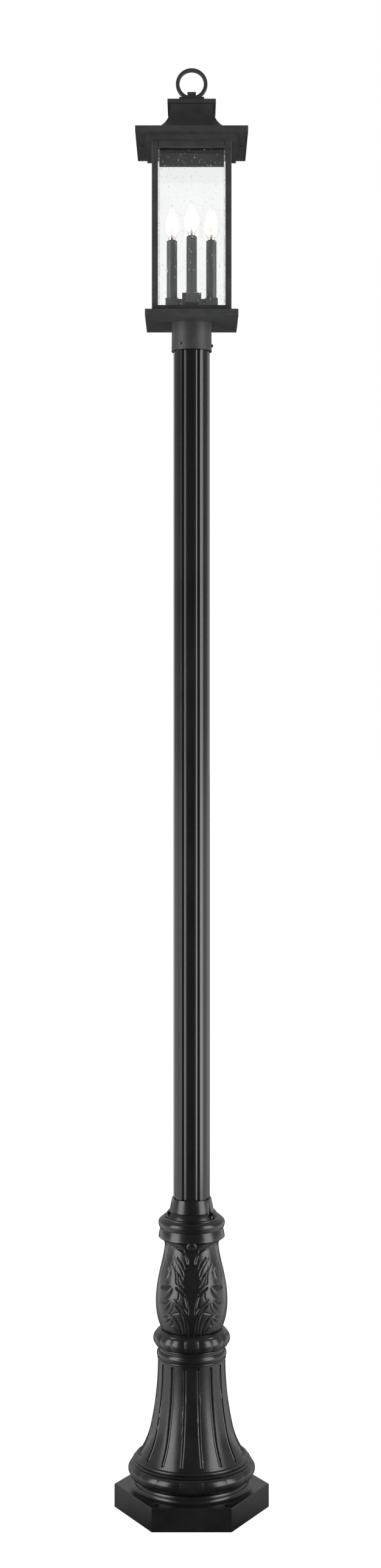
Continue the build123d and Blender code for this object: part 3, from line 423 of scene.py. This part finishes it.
# %% [markdown]
# New pieces are surfaces on a grid of points. Columns run round the piece and always close. Rows run along
# it: they close as well on a ring-like wall, and otherwise the two ends get a flat cap.

# %% A surface from a grid of points
def surface(name, grid, body, slot, finish=None, closed_rows=False):
    """A piece from a grid of points, rows by columns by three, or from many such grids stacked. Each face
    joins four neighbours: the point, the next in its row, and the same two in the next row. It rides on a
    body and takes a slot's finish, or one of its own."""
    rows, columns = grid.shape[-3:-1]
    index = np.arange(grid.size // 3).reshape(-1, rows, columns)
    if closed_rows:
        index = np.concatenate([index, index[:, :1]], axis=1)
    beside = np.roll(index, -1, axis=2)
    squares = np.stack([index[:, :-1], beside[:, :-1], beside[:, 1:], index[:, 1:]], axis=-1).reshape(-1, 4)
    faces = squares.tolist()
    if not closed_rows:
        faces += index[:, 0, ::-1].tolist() + index[:, -1].tolist()
    mesh = bpy.data.meshes.new(name)
    mesh.from_pydata(grid.reshape(-1, 3).tolist(), [], faces)
    mesh.polygons.foreach_set("use_smooth", np.arange(len(faces)) < len(squares))
    mesh.update()
    piece = bpy.data.objects.new(name, mesh)
    bpy.context.scene.collection.objects.link(piece)
    mesh.materials.append(finish or FINISHES[slot])
    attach(piece, body)
    return piece


def tube_grid(path, radius, sides=10):
    """Circles round a path: each point of the path plus the radius times the cosine and the sine of the turn
    along two directions square to the path. The radius may change along the path."""
    along = np.gradient(path, axis=0)
    along /= np.linalg.norm(along, axis=1)[:, None]
    reference = np.array([0.3, 0.9, 0.31])
    first = np.cross(along, reference)
    first /= np.linalg.norm(first, axis=1)[:, None]
    second = np.cross(along, first)
    turn = np.linspace(0, 2 * np.pi, sides, endpoint=False)
    reach = np.broadcast_to(radius, len(path))[:, None, None]
    ring = np.cos(turn)[None, :, None] * first[:, None] + np.sin(turn)[None, :, None] * second[:, None]
    return path[:, None] + reach * ring


print("surface helper ready")

# %% [markdown]
# The vase of the base carries a carved leaf, a traditional ornament. A smooth tongue runs up the front. On
# both sides of it stands a broad leaf, cut into pointed leaflets towards the tongue and into large rolled
# lobes towards the side. On the real casting the pattern maker cut this into wood with gouges: every edge
# is one stroke, steep on one side and rolled on the other. Here each stroke is a curve on the unrolled vase
# with a depth and a reach to either side. The height of every point of the surface is worked out at once,
# from the deepest stroke there. One quarter is drawn, and it is mirrored to the left and to the back.

# %% Strokes on the unrolled vase
VASE_LOW, VASE_HIGH = (corner.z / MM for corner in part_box("leaf_vase"))
VASE_HEIGHT = VASE_HIGH - VASE_LOW
MM_PER_DEGREE = 1.25


def smooth_curve(points, count=28):
    """A Catmull-Rom curve: between two points it is the cubic whose slope at each is half the step from the
    point before to the point after."""
    points = np.array(points, float)
    padded = np.vstack([2 * points[0] - points[1], points, 2 * points[-1] - points[-2]])
    share = np.linspace(0, len(points) - 1, count)
    piece = np.minimum(share.astype(int), len(points) - 2)
    t = (share - piece)[:, None]
    before, start, end, after = (padded[piece + step] for step in range(4))
    return 0.5 * (2 * start + (end - before) * t + (2 * before - 5 * start + 4 * end - after) * t**2
                  + (3 * start - before - 3 * end + after) * t**3)


def nearest(curve, angle, height):
    """Distance in mm from each surface point to a curve of (degrees, mm) points, above zero to the left of
    its way and below zero to the right, and how far along the curve the nearest place is, from 0 to 1. Each
    stretch of the curve is taken as a straight line."""
    scale = np.array([MM_PER_DEGREE, 1.0])
    line = smooth_curve(curve) * scale
    spot = np.stack([angle, height], axis=-1)[..., None, :] * scale
    start, step = line[:-1], np.diff(line, axis=0)
    away = spot - start
    share = np.clip((away * step).sum(-1) / (step * step).sum(-1), 0, 1)
    gap = np.linalg.norm(away - share[..., None] * step, axis=-1)
    side = np.where(step[:, 0] * away[..., 1] > step[:, 1] * away[..., 0], 1.0, -1.0)
    best = gap.argmin(-1)[..., None]
    distance = np.take_along_axis(gap * side, best, -1)[..., 0]
    along = (best[..., 0] + np.take_along_axis(share, best, -1)[..., 0]) / len(start)
    return distance, along


def stroke(curve, depth, left, right, angle, up):
    """Depth of one stroke: its full depth times the square of one minus the distance over the reach, which
    differs between the left and the right of the curve. It runs out towards both ends."""
    distance, along = nearest(curve, angle, up)
    reach = np.where(distance > 0, left, right)
    fade = np.clip(7 * along, 0, 1) * np.clip(7 * (1 - along), 0, 1)
    return depth * np.clip(1 - np.abs(distance) / reach, 0, 1) ** 2 * fade


print("vase from", round(VASE_LOW, 1), "to", round(VASE_HIGH, 1), "mm")

# %% Draw the leaf
LEAFLET_STROKES = [
    ([(50, 182), (31, 177), (19, 172), (15, 170)], 3.0, 2.0, 9.0),
    ([(21, 174), (17, 169), (12, 161), (7, 145)], 3.0, 2.2, 6.0),
    ([(30, 161), (27, 157), (19, 150), (11, 134)], 2.2, 6.0, 2.2),
    ([(40, 163), (36, 156), (27, 146), (18, 134), (13, 119)], 1.3, 3.0, 3.0),
    ([(42, 147), (37, 141), (27, 131), (14, 118)], 2.8, 7.0, 2.2),
    ([(36, 146), (32, 134), (29, 122), (27, 109), (19, 105), (9, 96)], 1.8, 2.2, 5.0),
    ([(24, 124), (22, 112), (11, 99)], 1.6, 3.0, 2.5),
    ([(28, 102), (18, 94), (10, 86)], 2.6, 6.0, 2.2),
    ([(24, 74), (21, 81), (21, 91)], 1.8, 2.5, 2.5),
    ([(30, 77), (17, 65), (9, 55), (5, 44)], 2.0, 2.5, 5.0),
    ([(13, 88), (8, 68), (5, 46)], 2.0, 2.5, 4.0),
    ([(32, 69), (21, 57), (14, 42), (11, 24), (11, -9)], 2.8, 2.4, 4.0),
    ([(27, 70), (17, 56), (11, 39), (8, 20), (7, -9)], 1.8, 2.4, 4.0),
    ([(41, 44), (30, 38), (23, 28), (20, 13), (20, -12)], 2.6, 2.4, 7.0),
    ([(38, 21), (30, 17), (22, 3)], 1.8, 3.0, 2.5),
    ([(34, 45), (20, 50)], 1.6, 2.6, 2.6),
    ([(34, 33), (32, 25), (38, 20)], 1.8, 2.5, 2.5),
    ([(29, 69), (31, 57), (39, 42)], 1.3, 2.6, 2.6),
]
LOBE_STROKES = [
    ([(49, 138), (42, 131), (42, 121), (46, 110), (58, 95)], 3.2, 10.0, 2.2),
    ([(47, 135), (58, 121), (66, 99)], 1.3, 3.0, 4.0),
    ([(63, 95), (54, 99), (44, 101), (34, 99), (35, 88), (44, 75), (61, 58)], 3.4, 11.0, 2.2),
    ([(55, 65), (44, 70), (37, 70), (38, 59), (50, 42)], 3.2, 10.0, 2.2),
    ([(52, 35), (42, 38), (37, 34), (48, 21)], 2.4, 5.0, 2.2),
    ([(52, 168), (61, 150), (66, 129), (67, 108)], 1.6, 4.0, 2.6),
    ([(56, 148), (63, 134), (66, 115)], 1.4, 3.0, 3.0),
    ([(67, 46), (65, 28), (60, 12), (52, -8)], 1.6, 5.0, 2.6),
    ([(71, 180), (75, 140), (81, 100), (82, 60), (79, 20), (80, -9)], 1.8, 4.0, 4.0),
]
TONGUE_SUNK = 0.8
LEAF_RAISED = 0.7
TONGUE_EDGE = (7, 14)
LEAF_EDGE = (58, 76)


def ramp(value, start, end):
    """Rises smoothly from 0 at the start to 1 at the end: three times the square less twice the cube."""
    share = np.clip((value - start) / (end - start), 0, 1)
    return share**2 * (3 - 2 * share)


def leaf_height(angle, up):
    """Height over the plain vase in mm at angles in degrees and heights in mm: the tongue lies low, the leaf
    beside it stands a little proud and runs out to the side, and the deepest stroke is taken off."""
    rise = (TONGUE_SUNK + LEAF_RAISED) * ramp(angle, *TONGUE_EDGE)
    plain = rise - TONGUE_SUNK - LEAF_RAISED * ramp(angle, *LEAF_EDGE)
    cut = np.zeros(angle.shape)
    for curve, depth, left, right in LEAFLET_STROKES + LOBE_STROKES:
        cut = np.maximum(cut, stroke(curve, depth, left, right, angle, up))
    edge = np.clip(up / 2, 0, 1) * np.clip((VASE_HEIGHT - up) / 2, 0, 1)
    return (plain - cut) * edge


# %% Carve the vase
QUARTER_COLUMNS = 104
VASE_ROWS = 230
INNER_ROWS = 8
VASE_WALL = 5.5


def outline_radius(node, heights):
    """Outer radius in mm of a round node at heights in mm, found by rays from the front to its axis."""
    levels = np.linspace(heights[0] + 0.05, heights[-1] - 0.05, 70)
    found = [nodes[node].ray_cast((0, -0.3, level * MM), (0, 1, 0))[1] for level in levels]
    return np.interp(heights, levels, [-place.y / MM for place in found])


def ring_points(angle, radius, height):
    """Points at angles in degrees from the front, radii and heights in mm."""
    turn = np.radians(angle)
    return np.stack(np.broadcast_arrays(radius * np.sin(turn), -radius * np.cos(turn), height), axis=-1) * MM


heights = np.linspace(VASE_LOW, VASE_HIGH, VASE_ROWS)
plain = outline_radius("leaf_vase", heights)[:, None]
angles = np.linspace(0, 360, 4 * QUARTER_COLUMNS, endpoint=False)[None, :]
quarter = np.linspace(0, 90, QUARTER_COLUMNS + 1)
carving = leaf_height(*np.broadcast_arrays(quarter[None, :], (heights - VASE_LOW)[:, None]))
folded = np.abs((np.arange(4 * QUARTER_COLUMNS) + QUARTER_COLUMNS) % (2 * QUARTER_COLUMNS) - QUARTER_COLUMNS)
outer = ring_points(angles, plain + carving[:, folded], heights[:, None])
inner_heights = np.linspace(VASE_HIGH, VASE_LOW, INNER_ROWS)
inner_radius = np.interp(inner_heights, heights, plain[:, 0]) - VASE_WALL
inner = ring_points(angles, inner_radius[:, None], inner_heights[:, None])
carved_vase = surface("carved_vase", np.vstack([outer, inner]), "post_base", "base_paint", closed_rows=True)
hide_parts("leaf_vase")
print("carving from", round(carving.min(), 2), "to", round(carving.max(), 2), "mm")
print("faces of the vase:", len(carved_vase.data.polygons))

# %% [markdown]
# At its head the tongue curls forward into a small hooded bud, which stands over the ring above. It is an
# egg shape whose front is pressed in below the hood, so that the hood keeps a bright rim.

# %% Shape the two buds
BUD_HALF_WIDTH, BUD_HALF_HEIGHT, BUD_DEPTH = 11.5, 11.0, 11.5
BUD_RADIUS = 61.0
BUD_RISE = -0.5
BUD_HOLLOW = 6.0


def bud_grid(direction):
    """An egg: half axes times the sines and cosines of two turns. Its front is pressed in by the bell curve
    of the distance from a point under the middle."""
    lift = np.radians(np.linspace(-87, 87, 24))[:, None]
    turn = np.radians(np.linspace(0, 360, 40, endpoint=False))[None, :]
    wide = np.cos(lift) * np.sin(turn)
    ahead = np.cos(lift) * np.cos(turn)
    tall = np.sin(lift) * np.ones_like(turn)
    hollow = BUD_HOLLOW * np.exp(-((wide / 0.55) ** 2) - ((tall + 0.25) / 0.6) ** 2) * (ahead > 0) * ahead
    forward = BUD_RADIUS + BUD_DEPTH * ahead - hollow
    up = VASE_HIGH + BUD_RISE + BUD_HALF_HEIGHT * tall
    return np.stack([-direction * BUD_HALF_WIDTH * wide, direction * forward, up], axis=-1) * MM


for side, direction in (("front", -1), ("back", 1)):
    bud = surface(f"leaf_bud_{side}", bud_grid(direction), "post_base", "base_paint")
    print("bud", side, "faces:", len(bud.data.polygons))

# %% [markdown]
# The panes are seeded glass: air bubbles were left in the melt on purpose, and rolling drew some of them out
# upright. They catch the light as white specks and short streaks in front of dark parts. They are real small
# bubbles here, scattered in each pane by a seeded random draw, with few faces each. Their white is a painted
# glint: a milky white colour stands in for the light they catch.

# %% Make the bubbles in the panes
bubble_glass_painted_glint, shader = finish_of("bubble_glass_painted_glint", Transmission_Weight=0.45, IOR=1.2)
tree = bubble_glass_painted_glint.node_tree
place = add(tree, "ShaderNodeTexCoord").outputs["Object"]
speck = noise(tree, place, 300.0, 1.0).outputs["Fac"]
# Painted glint: the bubbles are coloured milky white, from 0.75 to 1, which stands in for the light they
# catch.
painted_glint_white = add(tree, "ShaderNodeMix", data_type="RGBA", input_6=(0.75, 0.75, 0.75, 1), input_7=(1, 1, 1, 1))
tree.links.new(spread(tree, speck, 0.3, 0.7, 0.0, 1.0), painted_glint_white.inputs[0])
tree.links.new(painted_glint_white.outputs[2], shader.inputs["Base Color"])
tree.links.new(spread(tree, speck, 0.3, 0.7, 0.1, 0.35), shader.inputs["Roughness"])
print("bubble finish:", bubble_glass_painted_glint.name)

# %% Scatter the bubbles
SEEDS_PER_PANE = 420
PANE_MARGIN = 0.004
draw = np.random.default_rng(7)


def bubbles(low, high):
    """Many small eggs inside a pane: centres drawn evenly over the pane, half axes drawn small and drawn out
    upright on some. Each is a sphere of a few rows and columns times its half axes."""
    low, high = np.array(low), np.array(high)
    thin = int(np.argmin(high - low))
    size = draw.uniform(0.0002, 0.0006, (SEEDS_PER_PANE, 1)) * np.ones(3)
    size[:, 2] *= 1 + 5 * draw.uniform(0, 1, SEEDS_PER_PANE) ** 4
    reach = np.full(3, PANE_MARGIN)
    reach[thin] = (high[thin] - low[thin]) / 2
    centre = draw.uniform(low + reach, high - reach, (SEEDS_PER_PANE, 3))
    lift = np.radians(np.linspace(-80, 80, 5))[:, None]
    turn = np.radians(np.linspace(0, 360, 6, endpoint=False))[None, :]
    round_about = (np.cos(lift) * np.cos(turn), np.cos(lift) * np.sin(turn), np.sin(lift))
    ball = np.stack(np.broadcast_arrays(*round_about), -1)
    return centre[:, None, None, :] + size[:, None, None, :] * ball


for side in SIDES:
    eggs = bubbles(*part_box(f"glass_pane_{side}"))
    surface(f"pane_bubbles_{side}", eggs, "lantern", "seeded_glass", bubble_glass_painted_glint)
print("bubbles in each pane:", SEEDS_PER_PANE)

# %% [markdown]
# A candle bulb is clear, so its inside shows: a glass stem that flares at its foot and a filament that
# climbs in a tall zigzag loop. The filament glows nearly white.

# %% Make the filament finish
filament_glow, shader = finish_of("filament_glow", Base_Color=(1.0, 0.75, 0.4, 1), Emission_Strength=9.0)
tree = filament_glow.node_tree
place = add(tree, "ShaderNodeTexCoord").outputs["Object"]
flicker = noise(tree, place, 400.0, 1.0).outputs["Fac"]
warmth = add(tree, "ShaderNodeMix", data_type="RGBA", input_6=(1, 0.62, 0.3, 1), input_7=(1, 0.86, 0.62, 1))
tree.links.new(spread(tree, flicker, 0.3, 0.7, 0.0, 1.0), warmth.inputs[0])
tree.links.new(warmth.outputs[2], shader.inputs["Emission Color"])
print("filament finish:", filament_glow.name)

# %% Build the inside of each bulb
STEM_RADIUS, STEM_FLARE, STEM_HEIGHT, STEM_FOOT = 0.0012, 0.0030, 0.016, 0.0005
LOOP_HEIGHT, LOOP_HALF_WIDTH, ZIGZAG = 0.033, 0.0042, 0.0011
ZIGZAG_TURNS = 12
WIRE_RADIUS = 0.0004


def bulb_stem(middle, foot):
    """A glass stem: a straight path up, with a radius that grows by the cube of the distance from its
    top."""
    rise = np.linspace(0, 1, 15)
    path = middle + np.stack([0 * rise, 0 * rise, foot + STEM_FOOT + STEM_HEIGHT * rise], axis=1)
    return tube_grid(path, STEM_RADIUS + STEM_FLARE * (1 - rise) ** 3, 20)


def filament_loop(middle, foot):
    """A filament: it climbs and comes down again while it crosses over by half a cosine, and a small sine
    and cosine of many turns make its zigzag."""
    turns = np.linspace(0, 1, 181)
    zigzag = 2 * np.pi * ZIGZAG_TURNS * turns
    climb = foot + STEM_HEIGHT + LOOP_HEIGHT * (1 - np.abs(2 * turns - 1))
    across = LOOP_HALF_WIDTH * np.cos(np.pi * turns) + ZIGZAG * np.sin(zigzag)
    path = middle + np.stack([across, ZIGZAG * np.cos(zigzag), climb], axis=1)
    return tube_grid(path, WIRE_RADIUS, 6)


for side in SIDES:
    low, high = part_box(f"bulb_glass_{side}")
    middle = np.array([(low.x + high.x) / 2, (low.y + high.y) / 2, 0.0])
    body = f"bulb_{side}"
    surface(f"bulb_stem_{side}", bulb_stem(middle, low.z), body, "bulb_glass")
    surface(f"filament_{side}", filament_loop(middle, low.z), body, "bulb_metal", filament_glow)
    print("inside of bulb", side, "from", round(low.z, 4))
